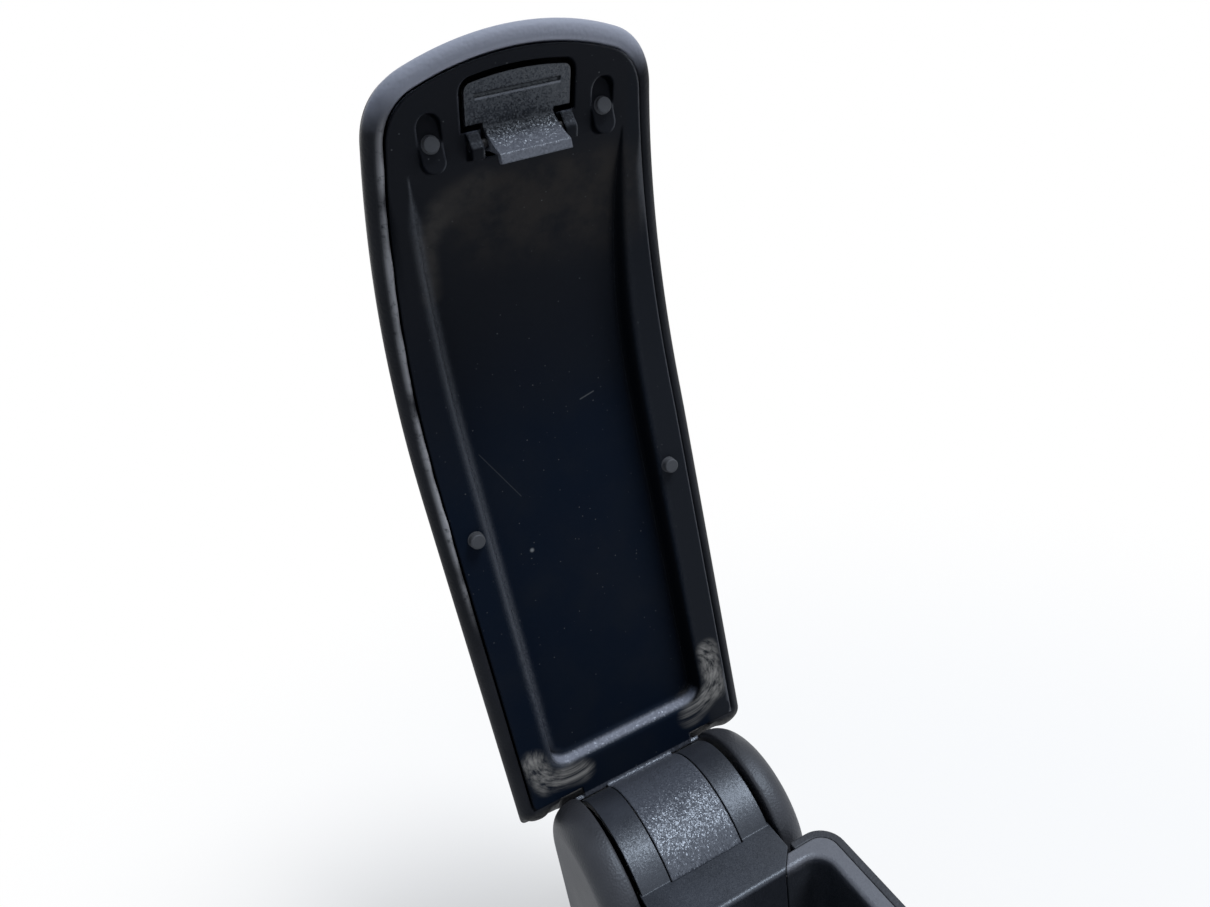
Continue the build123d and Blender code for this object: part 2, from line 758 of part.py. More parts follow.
floor_level = -hinge_height
floor_top = floor_level + shell_floor
liner_floor = floor_top + liner_lift
ledge_half = band_outer + drum_gap
ledge_under = rim_height - ledge_wall
band_inside = barrel_radius - barrel_wall
ledge_rear = sqrt(band_inside**2 - ledge_under**2)
shelf_top = ledge_under - cover_boss_height
striker_rear = liner_front + liner_wall
striker_face = striker_rear + striker_wall
bar_under = toe[1] + hook_nose_height + hook_play
slot_half = lug_inner + lug_width + lug_gap / 2
corners = [(a, b) for a in sides for b in sides]
mount_places = [(a * mount_spacing_x / 2, b * mount_spacing_y / 2) for a, b in corners]
liner_places = [(a * liner_screw_spacing_x / 2, b * liner_screw_spacing_y / 2) for a, b in corners]
bracket_places = [(a * bracket_screw_spacing_y / 2, b * bracket_screw_spacing_x / 2) for a, b in corners]
cover_places = [(cover_screw_s, side * (ear_outer + band_outer) / 2) for side in sides]
striker_screw_x = (striker_window + striker_width) / 4
striker_places = [(side * striker_screw_x, bar_under - striker_ear / 2) for side in sides]
striker_plane = Plane(origin=(0, hinge_y - striker_face, hinge_height), x_dir=(1, 0, 0), z_dir=(0, -1, 0))
shelf_under = (0, hinge_y, hinge_height + shelf_top - ear_wall)
cover_plane = Plane(origin=shelf_under, x_dir=(0, -1, 0), z_dir=(0, 0, -1))


def rods(plane, places, radius, length):
    """Round rods from a plane, used for bosses and for holes."""
    with BuildPart() as group:
        with BuildSketch(plane):
            with Locations(*places):
                Circle(radius)
        extrude(amount=length)
    return group.part


def base_block(s_from, s_to, half_width, h_from, h_to):
    """A block of the base, centred across."""
    with BuildPart() as block:
        with BuildSketch(base_plan.offset(h_from)):
            with Locations(((s_from + s_to) / 2, 0)):
                Rectangle(s_to - s_from, 2 * half_width)
        extrude(amount=h_to - h_from)
    return block.part


def tower_profile(radius, across):
    """Side view of the hinge tower: round over the hinge axis and straight down to the floor."""
    with BuildSketch(base_side.offset(-across)) as profile:
        Circle(radius)
        with Locations((0, floor_level / 2)):
            Rectangle(2 * radius, hinge_height)
    return profile.sketch


def cheek(side):
    """One side of the hinge tower: a rounded wall with a pocket from its underside."""
    middle = side * (cheek_inner + cheek_outer) / 2
    with BuildPart() as wall:
        extrude(tower_profile(tower_radius, middle), amount=cheek_width / 2, both=True)
        faces = wall.faces().filter_by(Axis.X).sort_by(lambda f: abs(f.center().X))
        inner_edges = [e for e in faces[0].edges() if e.center().Z > shell_floor]
        outer_edges = [e for e in faces[-1].edges() if e.center().Z > shell_floor]
        fillet(outer_edges, cheek_round)
        fillet(inner_edges, cheek_edge)
        pocket = tower_profile(tower_radius - cheek_round / 2 - cheek_wall, middle)
        extrude(pocket, amount=cheek_width / 2 - cheek_wall, both=True, mode=Mode.SUBTRACT)
    return wall.part


def bin_form(grow, low):
    """The inside of the bin, grown by a wall, from a height upwards."""
    with BuildPart() as form:
        rear_radius = liner_corner_radius + rim_width
        plan = plan_outline(base_plan.offset(low), grow - rim_width, liner_rear - grow, rear_radius)
        extrude(plan, amount=far)
        add(base_block(0, liner_front + grow, wide, low, far), mode=Mode.INTERSECT)
        fillet(form.edges().filter_by(Axis.Z).sort_by(Axis.Y)[:2], liner_corner_radius + grow)
    return form.part


def ledge_form(rear, grow, low):
    """The ledge between hinge and bin, grown by a gap, with its front corners cut off."""
    with BuildPart() as form:
        with BuildSketch(base_plan.offset(low)):
            with BuildLine():
                Polyline(
                    (rear, ledge_half),
                    (ledge_corner, ledge_half),
                    (liner_rear, ledge_front_half),
                    (liner_rear, -ledge_front_half),
                    (ledge_corner, -ledge_half),
                    (rear, -ledge_half),
                    close=True,
                )
            make_face()
            if grow > 0:
                offset(amount=grow, kind=Kind.INTERSECTION)
        extrude(amount=rim_height - low + grow)
    return form.part


def liner_flange():
    """Rim of the bin: a band that follows the closed lid at a distance."""
    with BuildPart() as flange:
        extrude(arch_band(base_side, -rim_gap - rim_wall, -rim_gap, 0), amount=wide / 2, both=True)
        inset = shell_wall + seam_gap
        outline = plan_outline(base_plan, -inset, shell_rear + inset, shell_corner_radius)
        extrude(outline, amount=far, both=True, mode=Mode.INTERSECT)
    return flange.part


def on_rim_edge(edge):
    """True for an edge where the inside of the bin meets the top of its rim."""
    place = base_plan.to_local_coords(edge.center())
    off_level = abs(place.Z - arch_height(place.X) + rim_gap)
    within = liner_rear - seam_gap < place.X < liner_front + seam_gap
    return within and off_level < layer_clearance and abs(place.Y) < half_panel - rim_width + seam_gap


# Base: outer shell with the cheeks of the hinge

with BuildPart() as outer_shell:
    extrude(under_arch(rim_gap, 0), amount=wide / 2, both=True)
    wall = plan_outline(base_plan, 0, shell_rear, shell_corner_radius)
    extrude(wall, amount=far, both=True, mode=Mode.INTERSECT)
    shell_inside = shell_rear + shell_wall
    inside = plan_outline(base_plan.offset(floor_top), -shell_wall, shell_inside, shell_corner_radius)
    extrude(inside, amount=far, mode=Mode.SUBTRACT)
    add(base_block(-tower_radius, shell_inside, cheek_inner + cheek_wall, floor_level, -tower_rear_top))
    add(cheek(-1))
    add(cheek(1))
    add(base_block(cheek_wall - tower_radius, liner_rear, cheek_inner, floor_top, far), mode=Mode.SUBTRACT)
    add(rods(Plane.XY.offset(shell_floor), liner_places, liner_boss_radius, liner_lift))
    liner_hole = liner_screw_radius + pin_clearance
    add(rods(Plane.XY.offset(shell_floor / 4), liner_places, liner_hole, far), mode=Mode.SUBTRACT)
    add(rods(Plane.XY, mount_places, mount_hole_radius, shell_floor), mode=Mode.SUBTRACT)
    bracket_seat = base_plan.offset(floor_top)
    bracket_hole = bracket_screw_radius + pin_clearance
    add(rods(bracket_seat, bracket_places, bracket_hole, -shell_floor), mode=Mode.SUBTRACT)
outer_shell.part.label = "outer_shell"

# Base: bin liner with its rim

with BuildPart() as bin_liner:
    add(bin_form(liner_wall, liner_floor))
    extrude(under_arch(rim_gap, 0), amount=wide / 2, both=True, mode=Mode.INTERSECT)
    add(liner_flange())
    add(bin_form(0, liner_floor + liner_wall), mode=Mode.SUBTRACT)
    fillet(bin_liner.edges().filter_by(on_rim_edge), rim_edge)
    notch_low = rim_height - apron_depth - seam_gap
    add(ledge_form(0, seam_gap, notch_low), mode=Mode.SUBTRACT)
    slot = base_block(striker_rear, plate_end[0], slot_half, bar_under - striker_ear, far)
    add(slot, mode=Mode.SUBTRACT)
    landing = pedestal(base_plan, layer_clearance * 4, pedestal_height - layer_clearance * 4, panel_height)
    add(landing, mode=Mode.SUBTRACT)
    liner_seat = Plane.XY.offset(hinge_height + liner_floor + liner_wall)
    add(rods(liner_seat, liner_places, liner_hole, -liner_wall), mode=Mode.SUBTRACT)
    striker_hole = striker_screw_radius + pin_clearance
    add(rods(striker_plane, striker_places, striker_hole, -striker_wall - liner_wall), mode=Mode.SUBTRACT)
bin_liner.part.label = "bin_liner"

# Base: hinge cover, bracket and pin

with BuildPart() as hinge_cover:
    add(ledge_form(ledge_rear, 0, ledge_under))
    apron_low = rim_height - apron_depth
    add(base_block(liner_rear - ledge_wall, liner_rear, ledge_front_half, apron_low, rim_height))
    front_edge = hinge_cover.edges().filter_by(Axis.X).sort_by(lambda e: e.center().Z - e.center().Y)[-1]
    fillet(front_edge, ledge_edge)
    for side in sides:
        with BuildSketch(base_side.offset(-side * band_inner)):
            with BuildLine():
                front_angle = degrees(asin((ledge_under + ledge_wall / 2) / barrel_radius))
                sweep_angle = 180 - band_end_angle - front_angle
                outer_arc = CenterArc((0, 0), barrel_radius, front_angle, sweep_angle)
                inner_arc = CenterArc((0, 0), band_inside, front_angle, sweep_angle)
                Line(outer_arc @ 0, inner_arc @ 0)
                Line(outer_arc @ 1, inner_arc @ 1)
            make_face()
        extrude(amount=-side * (band_outer - band_inner))
    with BuildSketch(base_side):
        Circle(sweep_radius)
    extrude(amount=band_inner, both=True, mode=Mode.SUBTRACT)
    cover_seat = base_plan.offset(shelf_top)
    add(rods(cover_seat, cover_places, cover_boss_radius, cover_boss_height))
    cover_hole = cover_screw_radius + pin_clearance
    add(rods(cover_seat, cover_places, cover_hole, cover_boss_height), mode=Mode.SUBTRACT)
hinge_cover.part.label = "hinge_cover"

with BuildPart() as hinge_bracket:
    with BuildSketch(base_side):
        Circle(ear_hub_radius)
        with BuildLine():
            Polyline(
                (ear_hub_radius, 0),
                (ear_foot_half, floor_top),
                (-ear_foot_half, floor_top),
                (-ear_hub_radius, 0),
                close=True,
            )
        make_face()
        with BuildLine():
            Polyline(
                (0, ear_hub_radius),
                (shelf_front, shelf_top),
                (shelf_front, shelf_top - ear_hub_radius),
                (0, -ear_hub_radius),
                close=True,
            )
        make_face()
    extrude(amount=ear_outer, both=True)
    add(base_block(-far, far, ear_inner, floor_top + ear_wall, far), mode=Mode.SUBTRACT)
    add(base_block(shelf_rear, shelf_front, band_outer, shelf_top - ear_wall, shelf_top))
    with BuildSketch(base_side):
        Circle(pin_radius + pin_clearance)
    extrude(amount=wide / 2, both=True, mode=Mode.SUBTRACT)
    add(rods(bracket_seat, bracket_places, bracket_hole, ear_wall), mode=Mode.SUBTRACT)
    add(rods(cover_seat, cover_places, cover_hole, -ear_wall), mode=Mode.SUBTRACT)
hinge_bracket.part.label = "hinge_bracket"


def clip_ring(outer, inner, grow):
    """Rings round the hinge pin, one outside each ear of the bracket."""
    with BuildPart() as rings:
        for side in sides:
            with BuildSketch(base_side.offset(-side * (ear_outer + clip_wall / 2 + ear_gap))):
                Circle(outer)
                Circle(inner, mode=Mode.SUBTRACT)
            extrude(amount=clip_wall / 2 + grow, both=True)
    return rings.part


with BuildPart() as hinge_pin:
    with BuildSketch(base_side):
        Circle(pin_radius)
    extrude(amount=ear_outer + ear_gap + 3 * clip_wall, both=True)
    add(clip_ring(2 * pin_radius, pin_radius - clip_depth, pin_clearance), mode=Mode.SUBTRACT)
hinge_pin.part.label = "hinge_pin"

with BuildPart() as pin_clips:
    add(clip_ring(pin_radius + clip_reach, pin_radius - clip_depth + pin_clearance, 0))
    with BuildSketch(base_side):
        with Locations((0, -pin_radius)):
            Rectangle(clip_mouth, 2 * pin_radius)
    extrude(amount=wide / 2, both=True, mode=Mode.SUBTRACT)
pin_clips.part.label = "pin_clips"

# Base: striker of the latch, and the screws

with BuildPart() as latch_striker:
    ear_under = bar_under - striker_ear
    bar_top = bar_under + striker_bar
    add(base_block(striker_rear, striker_face, striker_width / 2, ear_under, bar_top))
    add(base_block(0, far, striker_window / 2, -far, bar_under), mode=Mode.SUBTRACT)
    add(rods(striker_plane, striker_places, striker_hole, -striker_wall), mode=Mode.SUBTRACT)
latch_striker.part.label = "latch_striker"


def screws(plane, places, radius, length):
    """Pan head screws with a hexagon socket: heads in front of a plane and shanks behind it."""
    with BuildPart() as group:
        add(rods(plane, places, radius * screw_head_ratio, radius))
        add(rods(plane, places, radius, -length))
        with BuildSketch(plane.offset(radius)):
            with Locations(*places):
                RegularPolygon(radius, 6)
        extrude(amount=-radius / 2, mode=Mode.SUBTRACT)
    return group


striker_screws = screws(striker_plane, striker_places, striker_screw_radius, striker_wall + liner_wall)
striker_screws.part.label = "striker_screws"
cover_screws = screws(cover_plane, cover_places, cover_screw_radius, ear_wall + cover_boss_height)
cover_screws.part.label = "cover_screws"
bracket_top = bracket_seat.offset(ear_wall)
bracket_screws = screws(bracket_top, bracket_places, bracket_screw_radius, ear_wall + shell_floor / 2)
bracket_screws.part.label = "bracket_screws"
liner_screws = screws(liner_seat, liner_places, liner_screw_radius, liner_wall + liner_lift)
liner_screws.part.label = "liner_screws"

os.makedirs("parts", exist_ok=True)
export_step(lid_skin.part, "parts/lid_skin.step")
export_step(lid_foam.part, "parts/lid_foam.step")
export_step(lid_carrier.part, "parts/lid_carrier.step")
export_step(lid_inner_panel.part, "parts/lid_inner_panel.step")
export_step(side_bumper_left.part, "parts/side_bumper_left.step")
export_step(side_bumper_right.part, "parts/side_bumper_right.step")
export_step(front_bumper_left.part, "parts/front_bumper_left.step")
export_step(front_bumper_right.part, "parts/front_bumper_right.step")
export_step(latch_paddle.part, "parts/latch_paddle.step")
export_step(latch_pin.part, "parts/latch_pin.step")
export_step(latch_spring.part, "parts/latch_spring.step")
export_step(hinge_bush_left.part, "parts/hinge_bush_left.step")
export_step(hinge_bush_right.part, "parts/hinge_bush_right.step")
export_step(outer_shell.part, "parts/outer_shell.step")
export_step(bin_liner.part, "parts/bin_liner.step")
export_step(hinge_cover.part, "parts/hinge_cover.step")
export_step(hinge_bracket.part, "parts/hinge_bracket.step")
export_step(hinge_pin.part, "parts/hinge_pin.step")
export_step(pin_clips.part, "parts/pin_clips.step")
export_step(latch_striker.part, "parts/latch_striker.step")
export_step(striker_screws.part, "parts/striker_screws.step")
export_step(cover_screws.part, "parts/cover_screws.step")
export_step(bracket_screws.part, "parts/bracket_screws.step")
export_step(liner_screws.part, "parts/liner_screws.step")
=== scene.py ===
"""A car armrest with its padded lid open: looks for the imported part."""

import json
from math import atan2, cos, hypot, pi, radians, sin, sqrt

import bmesh
import bpy
import numpy as np
from mathutils import Euler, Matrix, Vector


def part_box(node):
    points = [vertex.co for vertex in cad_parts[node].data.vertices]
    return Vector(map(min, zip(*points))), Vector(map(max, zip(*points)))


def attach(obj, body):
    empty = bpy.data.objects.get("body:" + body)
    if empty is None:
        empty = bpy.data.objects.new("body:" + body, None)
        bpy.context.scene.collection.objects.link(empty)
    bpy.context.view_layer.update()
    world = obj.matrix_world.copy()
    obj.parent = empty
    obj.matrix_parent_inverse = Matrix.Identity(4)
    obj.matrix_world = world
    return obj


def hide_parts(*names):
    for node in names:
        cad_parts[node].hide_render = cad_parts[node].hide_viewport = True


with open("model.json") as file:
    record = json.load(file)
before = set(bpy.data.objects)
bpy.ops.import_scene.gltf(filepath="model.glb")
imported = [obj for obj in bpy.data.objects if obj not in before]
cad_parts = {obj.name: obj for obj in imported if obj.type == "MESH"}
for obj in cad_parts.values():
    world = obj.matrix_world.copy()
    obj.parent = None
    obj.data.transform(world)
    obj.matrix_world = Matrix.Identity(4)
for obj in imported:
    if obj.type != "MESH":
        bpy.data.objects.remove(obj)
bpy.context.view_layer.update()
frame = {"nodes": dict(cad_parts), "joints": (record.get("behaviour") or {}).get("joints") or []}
nodes = frame["nodes"]
lid_hinge = next(joint for joint in frame["joints"] if joint["name"] == "lid_hinge")

# Lid places (s, x, h) in millimetres: s from the hinge axis to the lid's tip, x across, h to the padded side

MM = 0.001
hinge = np.array(lid_hinge["pos_m"])
swing = radians(lid_hinge["range_deg"][1])
tip_way = np.array([0.0, -cos(swing), sin(swing)])
pad_way = np.array([0.0, sin(swing), cos(swing)])
across_way = np.array([1.0, 0.0, 0.0])


def lid_points(s, x, h):
    """Row-frame points of lid places: the hinge point plus s, x and h along the open lid's three directions."""
    shares = np.stack(np.broadcast_arrays(s, x, h), axis=-1) * MM
    return hinge + shares @ np.stack([tip_way, across_way, pad_way])


# Sizes of the lid, as the solids have them

panel_half = 51.8
panel_tip = 332.0
panel_height = 25.4
panel_corner = 3.0
recess_level = 33.4
arch_start = 196.0
arch_radius = 230.5
taper_start = 180.0
nose_corner_s = 322.5
nose_corner_half = 42.7
nose_corner_radius = 16.0
pad_overhang = 6.3
pad_thickness = 30.0
pad_nose_thickness = 18.5
pad_rear = 11.0
pad_rear_radius = 44.5
carrier_height = 13.6

# Sizes of the padded skin

roll_radius = 5.8
nose_roll_radius = 7.2
nose_overhang = 7.0
edge_radius = 11.0
side_lean = radians(10.5)
crown = 2.2
gap_depth = 7.0
widest_corner = 12.0
lid_middle = 180.0
ridge_start, ridge_stop = 60.0, 285.0

# Rows and columns of the padded skin

hollow_rows, tuck_rows, roll_rows, lean_rows, top_rows, crown_rows = 3, 5, 14, 7, 12, 14
nose_columns, fillet_columns, curve_columns = 30, 18, 44
side_columns, corner_columns, rear_columns = 60, 20, 40
lean_start = tuck_rows + roll_rows


def arch_height(s):
    """Height of the panel's face: flat, then a circle that falls towards the nose."""
    along = np.clip(s - arch_start, 0, None)
    return panel_height - arch_radius + np.sqrt(arch_radius**2 - along**2)


def pad_top_height(s):
    """Height of the pad's outer side: flat, then a wider circle down to the thin nose."""
    drop = panel_height + pad_thickness - arch_height(panel_tip) - pad_nose_thickness
    run = panel_tip + pad_overhang - arch_start
    radius = (run**2 + drop**2) / (2 * drop)
    along = np.clip(s - arch_start, 0, None)
    return panel_height + pad_thickness - radius + np.sqrt(radius**2 - along**2)


def smooth(value, low, high):
    """A smooth step: 0 at low, 1 at high, and 3t^2 - 2t^3 between them."""
    share = np.clip((value - low) / (high - low), 0, 1)
    return share * share * (3 - 2 * share)


def bend(centre, radius, start, stop, count):
    """Part of the panel's edge on a circle, as rows (s, x, outward s, outward x), the last one left out."""
    angle = np.linspace(start, stop, count, endpoint=False)
    out = np.stack([np.cos(angle), np.sin(angle)], axis=-1)
    return np.concatenate([np.array(centre) + radius * out, out], axis=-1)


def front_edge():
    """The right half of the panel's edge in plan, from the nose to where the side runs straight.

    The nose and the side are circles, and a fillet circle touches both."""
    side_rise = panel_half - nose_corner_half
    side_run = nose_corner_s - taper_start
    side_radius = (side_run**2 + side_rise**2) / (2 * side_rise)
    side_centre = np.array([taper_start, panel_half - side_radius])
    nose_bow = panel_tip - nose_corner_s
    nose_radius = (nose_corner_half**2 + nose_bow**2) / (2 * nose_bow)
    nose_centre = np.array([panel_tip - nose_radius, 0.0])
    reach_side = side_radius - nose_corner_radius
    reach_nose = nose_radius - nose_corner_radius
    apart = nose_centre - side_centre
    distance = hypot(*apart)
    along = (reach_side**2 - reach_nose**2 + distance**2) / (2 * distance)
    beside = sqrt(reach_side**2 - along**2)
    unit = apart / distance
    fillet = side_centre + along * unit + beside * np.array([unit[1], -unit[0]])
    to_side = atan2(*(fillet - side_centre)[::-1])
    to_nose = atan2(*(fillet - nose_centre)[::-1])
    return np.concatenate([
        bend(nose_centre, nose_radius, 0, to_nose, nose_columns),
        bend(fillet, nose_corner_radius, to_nose, to_side, fillet_columns),
        bend(side_centre, side_radius, to_side, pi / 2, curve_columns),
    ])


def along_keys(keys, count):
    """Points spaced evenly by length along a chain of key points."""
    keys = np.array(keys)
    length = np.concatenate([[0], np.cumsum(np.hypot(*np.diff(keys, axis=0).T))])
    spots = np.linspace(0, length[-1], count)
    return np.stack([np.interp(spots, length, keys[:, 0]), np.interp(spots, length, keys[:, 1])], axis=-1)


def rear_sections(count):
    """Sections (s, h) of the pad's rear end: at the corners, beside the hinge and over the middle.

    At the corners the skin rolls round the panel's edge, beside the hinge it is a slanted facet, and over the
    middle it follows the circle that clears the hinge. All end in the same round top edge."""
    turn = np.linspace(pi, pi / 2, 9)
    pad_top = panel_height + pad_thickness
    top = [(pad_rear + edge_radius * (1 + cos(a)), pad_top - edge_radius * (1 - sin(a))) for a in turn]
    roll = [(33.0, 28.6), (32.6, 26.5), (31.8, 25.4), (30.6, 25.0), (29.2, 25.2), (27.4, 26.0), (24.6, 27.7),
            (23.2, 29.2), (22.0, 31.6), (19.6, 35.6), (15.2, 40.2), (12.2, 43.2)]
    facet = [(33.0, 28.6), (32.7, 26.6), (32.2, 25.5), (31.2, 25.2), (30.0, 25.9), (22.6, 32.2), (19.6, 35.0),
             (15.4, 38.9), (12.4, 42.3)]
    arc = np.linspace(radians(47), radians(76), 9)
    clear = [(34.0, 33.6), (32.6, 32.2)] + [(pad_rear_radius * cos(a), pad_rear_radius * sin(a)) for a in arc]
    return [along_keys(section + top, count) for section in (roll, facet, clear)]


def skin_surface():
    """The padded lid cover as rows round the panel's edge, with a worn border and a share of painted highlight for
    each point.

    A row has a margin beyond the edge and a height. Rows come out of the gap, turn round the roll circle, lean
    in along the line that touches both circles, turn round the top edge's circle and run in to the middle line
    with a parabolic crown. The underside is closed above the lid's carrier. Along the straight side, the round
    corner and the rear line a row has its own rear end and corner radius, and a smooth step takes the height
    from the side's section to the rear section. On the left the hem stands out of the gap by sums of sines.
    The left half is otherwise the mirror image of the right one. The roll at the nose carries the painted highlight."""
    front_s, front_x, out_s, out_x = front_edge().T
    sine = sin(side_lean)
    roll_turn = np.linspace(radians(-74), side_lean, roll_rows)[:, None]
    top_turn = np.linspace(side_lean, pi / 2, top_rows)
    lean_share = np.linspace(0, 1, lean_rows + 2)[1:-1]
    tuck_margin = np.array([0.55, 0.5, 0.5, 0.65, 1.0])[:, None]
    tuck_lift = np.array([gap_depth, 4.4, 2.4, 1.2, 0.55])[:, None]
    share = np.concatenate([np.zeros(lean_start), lean_share, np.ones(top_rows)])[:, None]
    rows = len(share)

    def section(thick, overhang, roll):
        """Margins and lifts of the rows, one column for each thickness, overhang and roll radius."""
        run = (thick - edge_radius * (1 - sine) - roll * (1 + sine)) / cos(side_lean)
        leant = np.clip(run, 0, None) * sine
        roll_margin = overhang - roll + roll * np.cos(roll_turn)
        roll_lift = roll + roll * np.sin(roll_turn)
        lean = roll_margin[-1] - lean_share[:, None] * leant
        lean_lift = roll_lift[-1] * (1 - lean_share[:, None]) - edge_radius * (1 - sine) * lean_share[:, None]
        middle = roll_margin[-1] - leant - edge_radius * cos(side_lean)
        top = middle + edge_radius * np.cos(top_turn)[:, None]
        top_lift = edge_radius * (np.sin(top_turn)[:, None] - 1) + 0 * thick
        margin = np.concatenate([tuck_margin + 0 * thick, roll_margin, lean, top])
        return margin, np.concatenate([tuck_lift + 0 * thick, roll_lift, lean_lift, top_lift])

    at_nose = smooth(out_s, 0.15, 0.85)
    front_overhang = pad_overhang + (nose_overhang - pad_overhang) * at_nose
    front_roll = roll_radius + (nose_roll_radius - roll_radius) * at_nose
    front_thick = pad_top_height(front_s + pad_overhang * out_s) - arch_height(front_s)
    front_margin, front_lift = section(front_thick, front_overhang, front_roll)
    plan_s = [front_s + out_s * front_margin]
    plan_x = [front_x + out_x * front_margin]

    roll_section, facet_section, middle_section = rear_sections(rows)
    margin, side_lift = section(np.array([pad_thickness]), np.array([pad_overhang]), np.array([roll_radius]))
    rear = roll_section[:, :1]
    wanted = np.where(share < 1, panel_corner + margin, widest_corner + margin - margin[-top_rows])
    corner = np.clip(wanted, 4, widest_corner)
    corner[lean_start:-top_rows, 0] = np.linspace(corner[lean_start - 1, 0], widest_corner, lean_rows)
    along = np.linspace(0, 1, side_columns, endpoint=False)
    plan_s.append(taper_start * (1 - along) + (rear + corner) * along)
    plan_x.append(panel_half + margin + 0 * along)
    angle = np.linspace(pi / 2, pi, corner_columns, endpoint=False)
    plan_s.append(rear + corner + corner * np.cos(angle))
    plan_x.append(panel_half + margin - corner + corner * np.sin(angle))
    along = np.linspace(0, 1, rear_columns)
    rear_x = (panel_half + margin - corner) * (1 - along)
    beside = smooth(rear_x, 49, 41)
    over_middle = smooth(rear_x, 40, 35)
    rear_s, rear_h = [
        (roll_section[:, i:i + 1] * (1 - beside) + facet_section[:, i:i + 1] * beside) * (1 - over_middle)
        + middle_section[:, i:i + 1] * over_middle for i in (0, 1)]
    plan_s.append(rear_s)
    plan_x.append(rear_x)
    s = np.concatenate(plan_s, axis=1)
    x = np.concatenate(plan_x, axis=1)
    low = arch_height(s)
    side_lift = np.repeat(side_lift, side_columns + corner_columns + rear_columns, axis=1)
    h = low + np.concatenate([front_lift, side_lift], axis=1) + share * (pad_top_height(s) - low)
    turning = smooth(np.arange(corner_columns), 0, corner_columns - 1)
    turned = np.concatenate([np.zeros(len(front_s) + side_columns), turning, np.ones(rear_columns)])
    end_h = np.concatenate([np.repeat(roll_section[:, 1:], s.shape[1] - rear_columns, axis=1), rear_h], axis=1)
    h = h * (1 - turned) + end_h * turned

    s = np.concatenate([s, s[:, -2:0:-1]], axis=1)
    x = np.concatenate([x, -x[:, -2:0:-1]], axis=1)
    h = np.concatenate([h, h[:, -2:0:-1]], axis=1)
    worn = smooth(-x, 30, 42) * smooth(s, 120, 175) * smooth(s, 326, 312)
    ripple = 0.6 + 0.2 * np.sin(s / 5.3) + 0.15 * np.sin(s / 2.3 + 1.0) + 0.2 * np.sin(s / 13.0)
    hem = np.exp(-((np.arange(rows) - tuck_rows) / 1.2) ** 2)[:, None] * worn * ripple
    x = x + 0.9 * hem
    h = h - 1.2 * hem

    inward = np.linspace(0, 1, crown_rows + 1)[1:, None]
    top_s = s[-1] * (1 - inward) + np.clip(s[-1], ridge_start, ridge_stop) * inward
    top_x = x[-1] * (1 - inward)
    top_h = pad_top_height(top_s) + crown * (1 - (1 - inward) ** 2)
    pulled = 1 - 3.5 / np.hypot(s[0] - lid_middle, x[0])
    pulled_s, pulled_x = lid_middle + (s[0] - lid_middle) * pulled, x[0] * pulled
    hollow_s = np.stack([np.clip(s[0], ridge_start, ridge_stop), pulled_s, pulled_s])
    hollow_x = np.stack([0 * x[0], pulled_x, pulled_x])
    hollow_h = np.maximum(arch_height(hollow_s) + np.array([[carrier_height], [carrier_height], [gap_depth]]), h[:1])
    grid = np.stack([
        np.concatenate([hollow_s, s, top_s]),
        np.concatenate([hollow_x, x, top_x]),
        np.concatenate([hollow_h, h, top_h]),
    ], axis=-1)
    border = np.zeros(grid.shape[:2], np.float32)
    border[hollow_rows:hollow_rows + rows] = np.clip(1.6 * hem, 0, 1)
    on_roll = smooth(np.arange(rows), lean_start + lean_rows, lean_start - 2)[:, None]
    # Painted highlight: the upper rows of the roll at the nose get a lighter share, for the light from above.
    nose_painted_highlight = np.zeros(grid.shape[:2], np.float32)
    nose_painted_highlight[hollow_rows:hollow_rows + rows] = on_roll * smooth(s, 312, 333)
    return grid, border, nose_painted_highlight


def round_grid(name, points):
    """A mesh from a grid of points, rows by columns, with the last column joined to the first."""
    rows, columns = points.shape[:2]
    index = np.arange(rows * columns).reshape(rows, columns)
    after = np.roll(index, -1, axis=1)
    quads = np.stack([index[:-1], after[:-1], after[1:], index[1:]], axis=-1)
    mesh = bpy.data.meshes.new(name)
    mesh.from_pydata(points.reshape(-1, 3).tolist(), [], quads.reshape(-1, 4).tolist())
    mesh.update()
    made = bpy.data.objects.new(name, mesh)
    bpy.context.scene.collection.objects.link(made)
    return made


def close_outwards(piece):
    """Merges the points that meet and turns the faces outwards."""
    shell = bmesh.new()
    shell.from_mesh(piece.data)
    bmesh.ops.remove_doubles(shell, verts=shell.verts, dist=1e-6)
    bmesh.ops.recalc_face_normals(shell, faces=shell.faces)
    shell.to_mesh(piece.data)
    shell.free()
    piece.data.polygons.foreach_set("use_smooth", [True] * len(piece.data.polygons))


skin_grid, border_shares, nose_painted_highlight_shares = skin_surface()
padded_skin = round_grid("padded_skin", lid_points(skin_grid[..., 0], skin_grid[..., 1], skin_grid[..., 2]))
# The second layer holds the share of painted highlight on the nose roll.
for layer_name, shares in (("border", border_shares), ("nose_painted_highlight", nose_painted_highlight_shares)):
    layer = padded_skin.data.attributes.new(layer_name, "FLOAT", "POINT")
    layer.data.foreach_set("value", shares.ravel())
close_outwards(padded_skin)
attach(padded_skin, "lid")
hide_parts("lid_skin", "lid_foam")

# Materials


